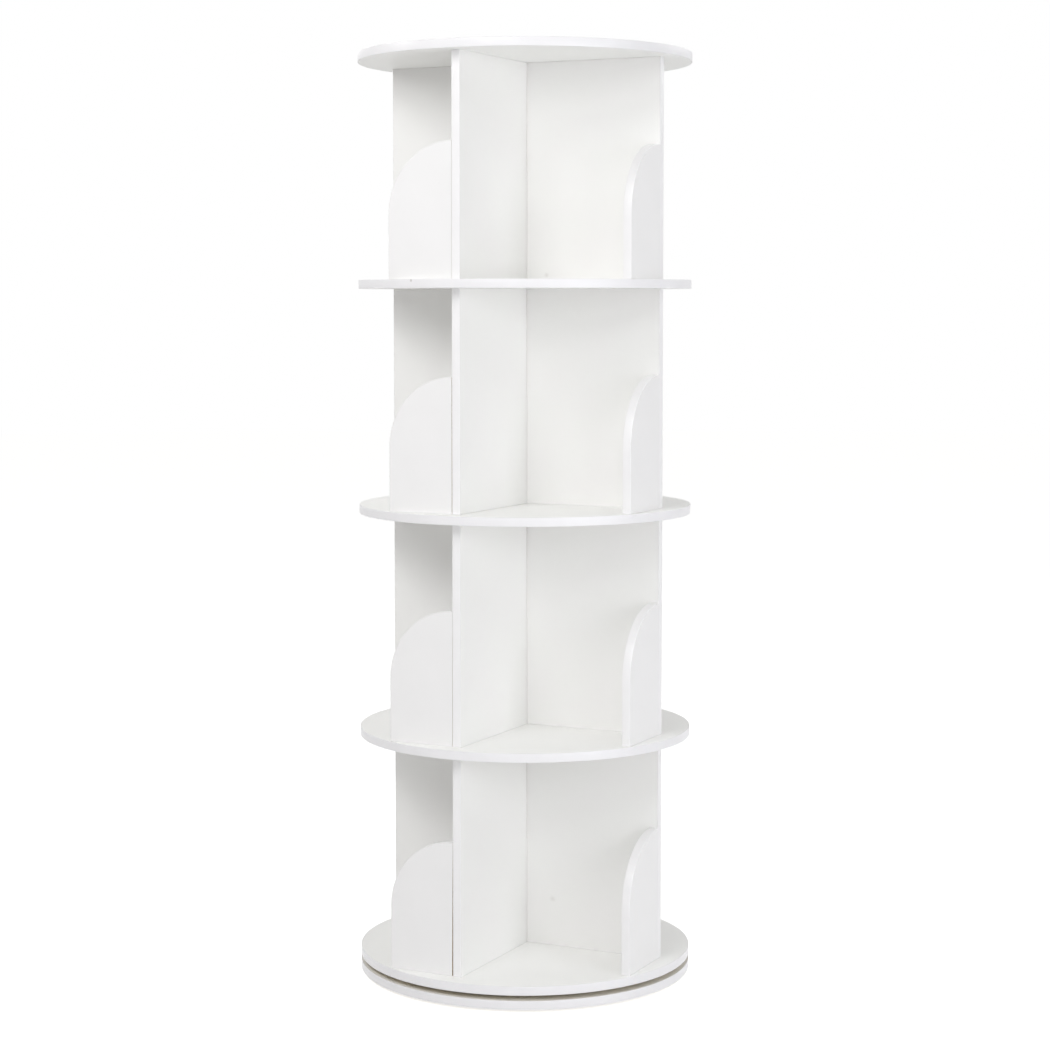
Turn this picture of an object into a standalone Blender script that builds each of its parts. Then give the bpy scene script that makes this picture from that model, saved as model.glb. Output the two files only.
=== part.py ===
"""Revolving bookcase.

Five round shelves and four pairs of crossed boards make one tall column. The column turns on a
ring bearing, whose balls run in a cage between two grooved rings, above a round base that stands
still on rubber pads. The two boards of a tier are joined by a half lap, and a quarter arch book
stop closes one side of each of the four compartments.

Units are metres. +Z is up, the origin is on the floor at the turning axis, and the board arms
point along +X, +Y, -X and -Y.
"""

import math

import bmesh
import bpy
from mathutils import Matrix, Vector

# Fits between pieces
SEAT_GAP = 0.0003
RUNNING_GAP = 0.0004
CUT_OVERRUN = 0.002
MERGE_DISTANCE = 0.00001

# Round shelves
SHELF_COUNT = 5
SHELF_DIAMETER = 0.460
SHELF_THICKNESS = 0.012
SHELF_EDGE_ROUND = 0.0008
CLEAR_HEIGHT = 0.2975

# Crossed boards
BOARD_SETBACK = 0.025
BOARD_LENGTH = SHELF_DIAMETER - 2 * BOARD_SETBACK
BOARD_THICKNESS = 0.012
LAP_HEIGHT_SHARE = 0.5
LAP_GAP = 0.0005
ARM_COUNT = 4

# Book stops
STOP_WIDTH = 0.0945
STOP_HEIGHT = 0.1805
STOP_THICKNESS = 0.012

# Base and its pads
BASE_DIAMETER = 0.460
BASE_THICKNESS = 0.012
PAD_COUNT = 4
PAD_DIAMETER = 0.028
PAD_HEIGHT = 0.004
PAD_EDGE_ROUND = 0.0008
PAD_CIRCLE_DIAMETER = 0.390

# Ring bearing
TURNTABLE_GAP = 0.007
BALL_CIRCLE_DIAMETER = 0.160
BALL_DIAMETER = 0.004
BALL_COUNT = 20
RACE_FACE_SHARE = 0.75
RING_WIDTH = 0.0185
RING_LIFT = 0.001
RING_EDGE_CHAMFER = 0.0005
CAGE_HEIGHT = 0.0022

# Dowels
DOWEL_DIAMETER = 0.006
DOWEL_CHAMFER = 0.0008
DOWEL_BOARD_DEPTH = 0.014
DOWEL_TOP_SHELF_DEPTH = 0.008
DOWEL_CIRCLE_DIAMETER = 0.270
HOLE_END_GAP = 0.001

# Screws
SCREW_DIAMETER = 0.004
SCREW_HEAD_DIAMETER = 0.0076
SCREW_POINT_LENGTH = 0.003
COLUMN_SCREW_LENGTH = 0.040
BASE_SCREW_LENGTH = 0.016
BASE_SCREW_COUNT = 3

# How finely round shapes are divided
SHELF_FACETS = 72
RING_FACETS = 48
SMALL_FACETS = 10
PAD_FACETS = 16
ARCH_POINTS = 14
RACE_POINTS = 5
SMOOTH_ANGLE = math.radians(30)
FULL_TURN = math.tau
QUARTER_TURN = math.pi / 2

# Heights that follow from the sizes
BASE_BOTTOM = PAD_HEIGHT + SEAT_GAP
BASE_TOP = BASE_BOTTOM + BASE_THICKNESS
COLUMN_BOTTOM = BASE_TOP + TURNTABLE_GAP
TIER_PITCH = SHELF_THICKNESS + CLEAR_HEIGHT
TIER_COUNT = SHELF_COUNT - 1
BOARD_HEIGHT = CLEAR_HEIGHT - 2 * SEAT_GAP
BALL_LEVEL = BASE_TOP + TURNTABLE_GAP / 2

# Radii of the bearing
BALL_CIRCLE = BALL_CIRCLE_DIAMETER / 2
RACE_RADIUS = BALL_DIAMETER / 2 + RUNNING_GAP
RACE_FACE_OFFSET = RACE_FACE_SHARE * BALL_DIAMETER / 2
INNER_SCREW_CIRCLE = BALL_CIRCLE - RACE_FACE_OFFSET - RING_WIDTH / 2
OUTER_SCREW_CIRCLE = BALL_CIRCLE + RACE_FACE_OFFSET + RING_WIDTH / 2


def clear_scene():
    """Remove every object that the scene starts with."""
    for obj in list(bpy.data.objects):
        bpy.data.objects.remove(obj, do_unlink=True)


def make_collection(name, hidden=False):
    """Return a new collection in the scene; a hidden one is left out of renders."""
    collection = bpy.data.collections.new(name)
    bpy.context.scene.collection.children.link(collection)
    collection.hide_render = hidden
    return collection


def make_material(name, colour, roughness, metallic=0.0):
    """Return a Principled material with one linear colour."""
    material = bpy.data.materials.new(name)
    material.use_nodes = True
    shader = material.node_tree.nodes["Principled BSDF"]
    shader.inputs["Base Color"].default_value = (*colour, 1.0)
    shader.inputs["Roughness"].default_value = roughness
    shader.inputs["Metallic"].default_value = metallic
    material.diffuse_color = (*colour, 1.0)
    return material


clear_scene()
PARTS = make_collection("revolving_bookcase")
CUTTERS = make_collection("cutters", hidden=True)
WHITE_BOARD = make_material("white_melamine_board", (0.83, 0.84, 0.83), 0.42)
BEECH = make_material("beech_dowel", (0.56, 0.37, 0.20), 0.70)
ALUMINIUM = make_material("aluminium_ring", (0.77, 0.78, 0.79), 0.35, 1.0)
STEEL = make_material("zinc_plated_steel", (0.62, 0.62, 0.60), 0.32, 1.0)
RUBBER = make_material("dark_rubber", (0.06, 0.06, 0.06), 0.85)


def make_pivot(name, height):
    """Return an empty on the turning axis, which carries the pieces of one body."""
    pivot = bpy.data.objects.new(name, None)
    pivot.empty_display_size = SHELF_DIAMETER / 2
    pivot.location = (0, 0, height)
    PARTS.objects.link(pivot)
    return pivot


BASE_PIVOT = make_pivot("base_pivot", 0)
CAGE_PIVOT = make_pivot("cage_pivot", BALL_LEVEL)
COLUMN_PIVOT = make_pivot("column_pivot", BALL_LEVEL)


def place(name, mesh, material, pivot, location, turn=0.0):
    """Add an object to the parts, carried by a pivot, at a place given in the world.

    Args:
        name: the piece's name.
        mesh: its mesh, which other pieces may share.
        material: its material, put on the mesh.
        pivot: the empty that carries it.
        location: the world place of the mesh's own origin.
        turn: the angle about +Z.
    """
    if not mesh.materials:
        mesh.materials.append(material)
    obj = bpy.data.objects.new(name, mesh)
    PARTS.objects.link(obj)
    obj.parent = pivot
    obj.location = Vector(location) - pivot.location
    obj.rotation_euler.z = turn
    return obj


def smooth(mesh):
    """Shade a round mesh smooth and keep its sharp edges."""
    mesh.shade_smooth()
    mesh.set_sharp_from_angle(angle=SMOOTH_ANGLE)


def mesh_from(bm, name):
    """Turn a bmesh into a mesh and free it."""
    mesh = bpy.data.meshes.new(name)
    bm.to_mesh(mesh)
    bm.free()
    return mesh


def on_circle(radius, angle, height=0.0):
    """Return the point at an angle on a circle round the turning axis."""
    return Vector((radius * math.cos(angle), radius * math.sin(angle), height))


def disc_mesh(name, radius, thickness):
    """Return a flat round plate centred on its origin."""
    bm = bmesh.new()
    bmesh.ops.create_cone(
        bm, cap_ends=True, segments=SHELF_FACETS, radius1=radius, radius2=radius, depth=thickness
    )
    mesh = mesh_from(bm, name)
    smooth(mesh)
    return mesh


def turned_mesh(name, profile, facets):
    """Return a profile turned round +Z.

    Args:
        name: the mesh's name.
        profile: (radius, height) points, from the top down the outer side.
        facets: how many flat sides make the full turn.
    """
    bm = bmesh.new()
    points = [bm.verts.new((radius, 0, height)) for radius, height in profile]
    for first, second in zip(points, points[1:]):
        bm.edges.new((first, second))
    line = bpy.data.objects.new(name, mesh_from(bm, name))
    bpy.context.scene.collection.objects.link(line)
    turning = line.modifiers.new("turning", "SCREW")
    turning.axis = "Z"
    turning.steps = facets
    turning.render_steps = facets
    turning.use_merge_vertices = True
    turning.merge_threshold = MERGE_DISTANCE
    mesh = baked_mesh(line, name)
    smooth(mesh)
    return mesh


def baked_mesh(obj, name):
    """Return the object's evaluated mesh with doubled points joined, and remove the object."""
    bpy.context.view_layer.update()
    graph = bpy.context.evaluated_depsgraph_get()
    mesh = bpy.data.meshes.new_from_object(obj.evaluated_get(graph))
    mesh.name = name
    data = obj.data
    kind = bpy.data.meshes if obj.type == "MESH" else bpy.data.curves
    bpy.data.objects.remove(obj, do_unlink=True)
    kind.remove(data)
    bm = bmesh.new()
    bm.from_mesh(mesh)
    bmesh.ops.remove_doubles(bm, verts=bm.verts, dist=MERGE_DISTANCE)
    bmesh.ops.recalc_face_normals(bm, faces=bm.faces)
    bm.to_mesh(mesh)
    bm.free()
    return mesh


def cut(target, cutter_shapes):
    """Cut shapes out of a piece with one exact Boolean.

    Args:
        target: the piece.
        cutter_shapes: (mesh, matrix) pairs, each matrix placing its mesh in the world.
    """
    bm = bmesh.new()
    for mesh, matrix in cutter_shapes:
        shape = mesh.copy()
        shape.transform(matrix)
        bm.from_mesh(shape)
        bpy.data.meshes.remove(shape)
    cutter = bpy.data.objects.new(target.name + "_cutter", mesh_from(bm, target.name + "_cutter"))
    CUTTERS.objects.link(cutter)
    cutter.hide_render = True
    cutter.display_type = "WIRE"
    boolean = target.modifiers.new("cuts", "BOOLEAN")
    boolean.operation = "DIFFERENCE"
    boolean.solver = "EXACT"
    boolean.object = cutter


def cylinder_between(radius, bottom, top, facets=SMALL_FACETS):
    """Return a closed upright cylinder about its own +Z axis, from one height to another."""
    bm = bmesh.new()
    bmesh.ops.create_cone(
        bm,
        cap_ends=True,
        segments=facets,
        radius1=radius,
        radius2=radius,
        depth=top - bottom,
        matrix=Matrix.Translation((0, 0, (top + bottom) / 2)),
    )
    return mesh_from(bm, "drill")


def shelf_bottom(number):
    """Return the height of a shelf's underside; the lowest shelf is number 1."""
    return COLUMN_BOTTOM + (number - 1) * TIER_PITCH


def shelf_top(number):
    """Return the height of a shelf's upper face."""
    return shelf_bottom(number) + SHELF_THICKNESS


def arm_places(radius):
    """Return the points where the four board arms cross a circle, at height zero."""
    return [on_circle(radius, arm * QUARTER_TURN) for arm in range(ARM_COUNT)]


# Screws and dowels, with the holes that they need

SCREW_HEAD_DEPTH = (SCREW_HEAD_DIAMETER - SCREW_DIAMETER) / 2
SCREW_HOLE_RADIUS = SCREW_DIAMETER / 2 + SEAT_GAP
COUNTERSINK_RADIUS = SCREW_HEAD_DIAMETER / 2 + 2 * SEAT_GAP
DOWEL_HOLE_RADIUS = DOWEL_DIAMETER / 2 + SEAT_GAP
THROUGH_DOWEL_LENGTH = SHELF_THICKNESS + 2 * DOWEL_BOARD_DEPTH
TOP_DOWEL_LENGTH = DOWEL_BOARD_DEPTH + DOWEL_TOP_SHELF_DEPTH
DOWEL_HOLE_DEPTH = DOWEL_BOARD_DEPTH - SEAT_GAP + HOLE_END_GAP
COLUMN_SCREW_BOTTOM = BASE_TOP + RING_LIFT


def screw_mesh(name, length):
    """Return a countersunk screw that points up, with its flat head at height zero."""
    radius = SCREW_DIAMETER / 2
    profile = [
        (0, length),
        (radius, length - SCREW_POINT_LENGTH),
        (radius, SCREW_HEAD_DEPTH),
        (SCREW_HEAD_DIAMETER / 2, 0),
        (0, 0),
    ]
    return turned_mesh(name, profile, SMALL_FACETS)


def screw_hole_mesh(length):
    """Return the cutter for a screw: a clearance hole and a countersink, from height zero up."""
    profile = [
        (0, length),
        (SCREW_HOLE_RADIUS, length),
        (SCREW_HOLE_RADIUS, COUNTERSINK_RADIUS - SCREW_HOLE_RADIUS),
        (COUNTERSINK_RADIUS, 0),
        (COUNTERSINK_RADIUS, -CUT_OVERRUN),
        (0, -CUT_OVERRUN),
    ]
    return turned_mesh("screw_hole", profile, SMALL_FACETS)


def dowel_mesh(name, length):
    """Return a dowel with chamfered ends, upright and centred on its origin."""
    radius = DOWEL_DIAMETER / 2
    half = length / 2
    profile = [
        (0, half),
        (radius - DOWEL_CHAMFER, half),
        (radius, half - DOWEL_CHAMFER),
        (radius, DOWEL_CHAMFER - half),
        (radius - DOWEL_CHAMFER, -half),
        (0, -half),
    ]
    return turned_mesh(name, profile, SMALL_FACETS)


# Base


def build_base():
    """Make the base disc, its pads and the screws that hold the outer ring on it."""
    disc = place(
        "base_disc",
        disc_mesh("base_disc", BASE_DIAMETER / 2, BASE_THICKNESS),
        WHITE_BOARD,
        BASE_PIVOT,
        (0, 0, BASE_BOTTOM + BASE_THICKNESS / 2),
    )
    round_edge(disc)
    screw_places = [
        on_circle(OUTER_SCREW_CIRCLE, QUARTER_TURN + number * FULL_TURN / BASE_SCREW_COUNT)
        for number in range(BASE_SCREW_COUNT)
    ]
    hole = screw_hole_mesh(BASE_THICKNESS + TURNTABLE_GAP)
    holes = [(hole, Matrix.Translation(spot + Vector((0, 0, BASE_BOTTOM)))) for spot in screw_places]
    cut(disc, holes)
    screw = screw_mesh("base_screw", BASE_SCREW_LENGTH)
    for number, spot in enumerate(screw_places, 1):
        place(f"base_screw_{number}", screw, STEEL, BASE_PIVOT, spot + Vector((0, 0, BASE_BOTTOM)))
    build_pads()
    return holes


def build_pads():
    """Make the rubber pads, spread between the directions of the board arms."""
    radius = PAD_DIAMETER / 2
    profile = [
        (0, PAD_HEIGHT),
        (radius, PAD_HEIGHT),
        (radius, PAD_EDGE_ROUND),
        (radius - PAD_EDGE_ROUND, 0),
        (0, 0),
    ]
    pad = turned_mesh("foot_pad", profile, PAD_FACETS)
    for number in range(PAD_COUNT):
        spot = on_circle(PAD_CIRCLE_DIAMETER / 2, (number + 0.5) * FULL_TURN / PAD_COUNT)
        place(f"foot_pad_{number + 1}", pad, RUBBER, BASE_PIVOT, spot)


def round_edge(disc):
    """Round both rims of a round plate."""
    bevel = disc.modifiers.new("rim", "BEVEL")
    bevel.width = SHELF_EDGE_ROUND
    bevel.segments = 1
    bevel.limit_method = "ANGLE"
    bevel.angle_limit = SMOOTH_ANGLE


# Ring bearing


def race_arc(side):
    """Return the (radius, height) points of a race, from its upper lip to its lower lip.

    Args:
        side: 1 for the outer ring's race, -1 for the inner ring's.
    """
    lip = math.acos(RACE_FACE_OFFSET / RACE_RADIUS)
    turns = [lip - 2 * lip * step / (RACE_POINTS - 1) for step in range(RACE_POINTS)]
    return [
        (BALL_CIRCLE + side * RACE_RADIUS * math.cos(turn), RACE_RADIUS * math.sin(turn))
        for turn in turns
    ]


def ring_mesh(name, side, bottom, top):
    """Return one ring of the bearing, with heights counted from the ball level.

    Args:
        name: the ring's name.
        side: 1 for the outer ring, -1 for the inner ring.
        bottom: the height of its lower face.
        top: the height of its upper face.
    """
    face = BALL_CIRCLE + side * RACE_FACE_OFFSET
    back = face + side * RING_WIDTH
    chamfer = RING_EDGE_CHAMFER
    back_side = [
        (back - side * chamfer, top),
        (back, top - chamfer),
        (back, bottom + chamfer),
        (back - side * chamfer, bottom),
    ]
    race_side = [(face, top)] + race_arc(side) + [(face, bottom)]
    profile = back_side + race_side[::-1] if side > 0 else race_side + back_side[::-1]
    return turned_mesh(name, profile + profile[:1], RING_FACETS)


def build_bearing(base_holes):
    """Make the two grooved rings, the ball cage and the screws up into the column."""
    low = BASE_TOP - BALL_LEVEL
    high = COLUMN_BOTTOM - BALL_LEVEL
    outer = place(
        "bearing_outer_ring",
        ring_mesh("bearing_outer_ring", 1, low + SEAT_GAP, high - RING_LIFT),
        ALUMINIUM,
        BASE_PIVOT,
        (0, 0, BALL_LEVEL),
    )
    cut(outer, base_holes)
    inner = place(
        "bearing_inner_ring",
        ring_mesh("bearing_inner_ring", -1, low + RING_LIFT, high - SEAT_GAP),
        ALUMINIUM,
        COLUMN_PIVOT,
        (0, 0, BALL_LEVEL),
    )
    hole = screw_hole_mesh(COLUMN_SCREW_LENGTH + HOLE_END_GAP)
    screw = screw_mesh("column_screw", COLUMN_SCREW_LENGTH)
    spots = [spot + Vector((0, 0, COLUMN_SCREW_BOTTOM)) for spot in arm_places(INNER_SCREW_CIRCLE)]
    holes = [(hole, Matrix.Translation(spot)) for spot in spots]
    cut(inner, holes)
    for number, spot in enumerate(spots, 1):
        place(f"column_screw_{number}", screw, STEEL, COLUMN_PIVOT, spot)
    build_cage()
    return holes


def build_cage():
    """Make the cage: a flat band with its balls held in it."""
    band_half = RACE_FACE_OFFSET - RUNNING_GAP
    half = CAGE_HEIGHT / 2
    inner, outer = BALL_CIRCLE - band_half, BALL_CIRCLE + band_half
    profile = [(inner, half), (outer, half), (outer, -half), (inner, -half), (inner, half)]
    band = turned_mesh("ball_cage", profile, RING_FACETS)
    cage = place("ball_cage", band, STEEL, CAGE_PIVOT, (0, 0, BALL_LEVEL))
    bm = bmesh.new()
    for number in range(BALL_COUNT):
        spot = on_circle(BALL_CIRCLE, number * FULL_TURN / BALL_COUNT, BALL_LEVEL)
        bmesh.ops.create_icosphere(
            bm, subdivisions=2, radius=BALL_DIAMETER / 2, matrix=Matrix.Translation(spot)
        )
    balls = bpy.data.objects.new("cage_balls", mesh_from(bm, "cage_balls"))
    CUTTERS.objects.link(balls)
    balls.hide_render = True
    balls.display_type = "WIRE"
    join = cage.modifiers.new("balls", "BOOLEAN")
    join.operation = "UNION"
    join.solver = "EXACT"
    join.object = balls


# Shelves, boards and stops


def build_shelf(number, screw_holes):
    """Make one round shelf, drilled for what passes through it."""
    centre = Vector((0, 0, shelf_bottom(number) + SHELF_THICKNESS / 2))
    mesh = disc_mesh(f"shelf_{number}", SHELF_DIAMETER / 2, SHELF_THICKNESS)
    shelf = place(f"shelf_{number}", mesh, WHITE_BOARD, COLUMN_PIVOT, centre)
    round_edge(shelf)
    if number == 1:
        cut(shelf, screw_holes)
        return
    bottom = shelf_bottom(number) - CUT_OVERRUN
    if number == SHELF_COUNT:
        top = shelf_bottom(number) + DOWEL_TOP_SHELF_DEPTH + HOLE_END_GAP
    else:
        top = shelf_top(number) + CUT_OVERRUN
    drill = cylinder_between(DOWEL_HOLE_RADIUS, bottom, top)
    spots = arm_places(DOWEL_CIRCLE_DIAMETER / 2)
    cut(shelf, [(drill, Matrix.Translation(spot)) for spot in spots])


def build_boards(tier, screw_holes):
    """Make the two crossed boards of one tier, lapped at half height and drilled at their edges.

    The upper board lies along X and its slot opens at the bottom, so it drops onto the lower
    board, which lies along Y and has its slot open at the top.
    """
    floor = shelf_top(tier) + SEAT_GAP
    ceiling = floor + BOARD_HEIGHT
    lap = floor + LAP_HEIGHT_SHARE * BOARD_HEIGHT
    slots = {"upper": (floor - CUT_OVERRUN, lap + SEAT_GAP / 2)}
    slots["lower"] = (lap - SEAT_GAP / 2, ceiling + CUT_OVERRUN)
    edge_drill = cylinder_between(DOWEL_HOLE_RADIUS, ceiling - DOWEL_HOLE_DEPTH, ceiling + CUT_OVERRUN)
    foot_drill = cylinder_between(DOWEL_HOLE_RADIUS, floor - CUT_OVERRUN, floor + DOWEL_HOLE_DEPTH)
    for number, (kind, (slot_bottom, slot_top)) in enumerate(slots.items()):
        turn = number * QUARTER_TURN
        bm = bmesh.new()
        size = Matrix.Diagonal((BOARD_LENGTH, BOARD_THICKNESS, BOARD_HEIGHT, 1))
        bmesh.ops.create_cube(bm, size=1, matrix=size)
        mesh = mesh_from(bm, f"tier_{tier}_{kind}_board")
        centre = (0, 0, (floor + ceiling) / 2)
        board = place(mesh.name, mesh, WHITE_BOARD, COLUMN_PIVOT, centre, turn)
        arms = (number, number + 2)
        cuts = [(slot_mesh(slot_bottom, slot_top), Matrix.Rotation(turn, 4, "Z"))]
        dowel_spots = [on_circle(DOWEL_CIRCLE_DIAMETER / 2, arm * QUARTER_TURN) for arm in arms]
        cuts += [(edge_drill, Matrix.Translation(spot)) for spot in dowel_spots]
        if tier == 1:
            cuts += [screw_holes[arm] for arm in arms]
        else:
            cuts += [(foot_drill, Matrix.Translation(spot)) for spot in dowel_spots]
        cut(board, cuts)


def slot_mesh(bottom, top):
    """Return the block that cuts a half lap, as wide as the other board's thickness and its fit."""
    width = BOARD_THICKNESS + 2 * LAP_GAP
    depth = BOARD_THICKNESS + 2 * CUT_OVERRUN
    bm = bmesh.new()
    size = Matrix.Diagonal((width, depth, top - bottom, 1))
    bmesh.ops.create_cube(bm, size=1, matrix=Matrix.Translation((0, 0, (top + bottom) / 2)) @ size)
    return mesh_from(bm, "lap_slot")


def stop_mesh():
    """Return a book stop: a plate with a quarter arch, made along -Y and up from its origin."""
    rise = STOP_HEIGHT - STOP_WIDTH
    turns = [QUARTER_TURN * step / ARCH_POINTS for step in range(ARCH_POINTS + 1)]
    arch = [(STOP_WIDTH * math.cos(turn), rise + STOP_WIDTH * math.sin(turn)) for turn in turns]
    outline = [(0, 0), (STOP_WIDTH, 0)] + arch
    curve = bpy.data.curves.new("book_stop", "CURVE")
    curve.dimensions = "2D"
    curve.fill_mode = "BOTH"
    curve.extrude = STOP_THICKNESS / 2
    line = curve.splines.new("POLY")
    line.points.add(len(outline) - 1)
    for point, (along, up) in zip(line.points, outline):
        point.co = (along, up, 0, 1)
    line.use_cyclic_u = True
    obj = bpy.data.objects.new("book_stop", curve)
    bpy.context.scene.collection.objects.link(obj)
    mesh = baked_mesh(obj, "book_stop")
    mesh.transform(Matrix(((0, 0, -1, 0), (-1, 0, 0, 0), (0, 1, 0, 0), (0, 0, 0, 1))))
    return mesh


def build_stops(tier, mesh):
    """Stand one book stop at the outer end of each board arm, on its clockwise side."""
    out = BOARD_LENGTH / 2 - STOP_THICKNESS / 2
    side = BOARD_THICKNESS / 2 + SEAT_GAP
    for arm in range(ARM_COUNT):
        turn = arm * QUARTER_TURN
        spot = Matrix.Rotation(turn, 3, "Z") @ Vector((out, -side, 0))
        spot.z = shelf_top(tier) + SEAT_GAP
        place(f"tier_{tier}_book_stop_{arm + 1}", mesh, WHITE_BOARD, COLUMN_PIVOT, spot, turn)


def build_dowels():
    """Pin each tier to the shelf above it: through dowels, and short ones under the top shelf."""
    through = dowel_mesh("through_dowel", THROUGH_DOWEL_LENGTH)
    short = dowel_mesh("top_dowel", TOP_DOWEL_LENGTH)
    for number in range(2, SHELF_COUNT + 1):
        if number == SHELF_COUNT:
            mesh = short
            level = shelf_bottom(number) + DOWEL_TOP_SHELF_DEPTH - TOP_DOWEL_LENGTH / 2
        else:
            mesh = through
            level = shelf_bottom(number) + SHELF_THICKNESS / 2
        for arm, spot in enumerate(arm_places(DOWEL_CIRCLE_DIAMETER / 2), 1):
            spot.z = level
            place(f"shelf_{number}_dowel_{arm}", mesh, BEECH, COLUMN_PIVOT, spot)


def build_column(screw_holes):
    """Make everything that turns above the bearing."""
    for number in range(1, SHELF_COUNT + 1):
        build_shelf(number, screw_holes)
    stop = stop_mesh()
    for tier in range(1, TIER_COUNT + 1):
        build_boards(tier, screw_holes)
        build_stops(tier, stop)
    build_dowels()


build_column(build_bearing(build_base()))
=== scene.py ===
"""Looks of a revolving bookcase in white melamine faced board.

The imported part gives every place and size. This script dresses it: fine panels with edge banding,
a turned ring bearing with its balls, screws, dowels and pads, and the studio and camera of the
photograph. Units are metres, in the part's own frame: the origin is on the floor at the turning
axis, +Z is up, and the board arms point along +X, +Y, -X and -Y.
"""

import logging
import math
from collections.abc import Callable, Iterable
from dataclasses import dataclass, field, replace
from enum import Enum, IntEnum
from functools import cache

import bmesh
import bpy
from mathutils import Matrix, Vector


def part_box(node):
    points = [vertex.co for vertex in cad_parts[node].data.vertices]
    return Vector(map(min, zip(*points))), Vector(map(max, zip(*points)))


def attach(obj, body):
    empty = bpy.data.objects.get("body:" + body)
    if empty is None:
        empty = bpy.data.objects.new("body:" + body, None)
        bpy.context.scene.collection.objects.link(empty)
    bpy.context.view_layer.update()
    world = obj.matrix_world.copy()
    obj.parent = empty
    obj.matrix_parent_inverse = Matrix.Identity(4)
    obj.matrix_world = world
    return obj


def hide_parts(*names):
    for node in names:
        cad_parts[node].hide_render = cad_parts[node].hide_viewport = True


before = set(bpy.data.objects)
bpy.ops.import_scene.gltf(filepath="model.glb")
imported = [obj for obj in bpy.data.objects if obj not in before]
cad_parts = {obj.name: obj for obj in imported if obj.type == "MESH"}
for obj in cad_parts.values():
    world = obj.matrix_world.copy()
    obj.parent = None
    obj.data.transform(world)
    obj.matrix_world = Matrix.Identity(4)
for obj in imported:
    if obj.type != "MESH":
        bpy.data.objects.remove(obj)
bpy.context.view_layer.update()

LOG = logging.getLogger("revolving_bookcase")

Point = tuple[float, float]
Triple = tuple[float, float, float]
Stop = tuple[float, str]
Inputs = dict[str | int, object]
Material = bpy.types.Material
Mesh = bpy.types.Mesh
Shape = bmesh.types.BMesh
Socket = bpy.types.NodeSocket
Tree = bpy.types.NodeTree
Cutter = tuple[Shape, Matrix]
Corners = list[bmesh.types.BMVert]
RadiusRule = Callable[[float, float, float], float]

MM = 0.001
QUARTER_TURN = math.pi / 2
FULL_TURN = math.tau
SMOOTH_ANGLE = math.radians(32)
MERGE_DISTANCE = 0.002 * MM
WELD_DISTANCE = 0.0002 * MM

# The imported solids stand 0.3 mm clear of the shelves. The real ones are screwed down, so their
# edges come nearer by this much, and a hairline is left.
CLOSING = 0.17 * MM

# How far a cutter reaches past a face that it cuts through.
OVERRUN = 2 * MM

SHELF_COUNT = 5
TIER_COUNT = 4
ARM_COUNT = 4

PURE_WHITE = "#FFFFFF"
COOL_WHITE = "#F9FBFF"

# A noise hardly ever leaves these values.
NOISE_RANGE = (0.3, 0.7)


class Body(Enum):
    """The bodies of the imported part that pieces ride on."""

    BASE = "base"
    CAGE = "ball_cage"
    COLUMN = "column"


class Slot(Enum):
    """Names of material slots. This script gives no piece a slot."""

    WHITE_BOARD = "white_board"
    BEECH = "beech"
    ALUMINIUM = "aluminium"
    BEARING_STEEL = "bearing_steel"
    ZINC_STEEL = "zinc_steel"
    RUBBER = "rubber"


class Surface(IntEnum):
    """Which finish a face of a panel takes, as its place in the mesh's material list."""

    FACE = 0
    EDGE = 1
    GLUE = 2
    CORE = 3
    BACK = 4


class Lap(Enum):
    """Which of a tier's two crossed boards: the lower one's slot opens at the top."""

    LOWER = "lower"
    UPPER = "upper"


# Each kind of screw with the body that it rides on and its number.
SCREWS = {"base_screw": (Body.BASE, 3), "column_screw": (Body.COLUMN, 4)}


# Node trees


def linear(colour: str) -> tuple[float, float, float, float]:
    """Turn an sRGB hex colour into the linear colour that a shader takes.

    Args:
        colour: the hex colour, such as #F5F4F1.

    Returns:
        The red, green and blue light and a full alpha.
    """
    parts = [int(colour[at : at + 2], 16) / 255 for at in (1, 3, 5)]
    light = [part / 12.92 if part <= 0.04045 else ((part + 0.055) / 1.055) ** 2.4 for part in parts]
    return (*light, 1.0)


def add_node(tree: Tree, kind: str, inputs: Inputs | None = None, **settings: object) -> bpy.types.Node:
    """Add one node to a tree with its settings and links.

    Args:
        tree: the tree that gets the node.
        kind: the node's type, without the leading ShaderNode.
        inputs: a value, or another node's output to link from, for each input named or numbered.
        settings: the node's own properties.

    Returns:
        The new node.
    """
    node = tree.nodes.new("ShaderNode" + kind)
    for name, value in settings.items():
        setattr(node, name, value)
    for key, value in (inputs or {}).items():
        if isinstance(value, Socket):
            tree.links.new(value, node.inputs[key])
        else:
            node.inputs[key].default_value = value
    return node


def new_material(name: str, colour: str) -> tuple[Material, Tree]:
    """Start an empty node material.

    Args:
        name: the real material's name.
        colour: its sRGB hex colour in the viewport.

    Returns:
        The material and its tree.
    """
    material = bpy.data.materials.new(name)
    material.use_nodes = True
    material.node_tree.nodes.clear()
    material.diffuse_color = linear(colour)
    return material, material.node_tree


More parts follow.
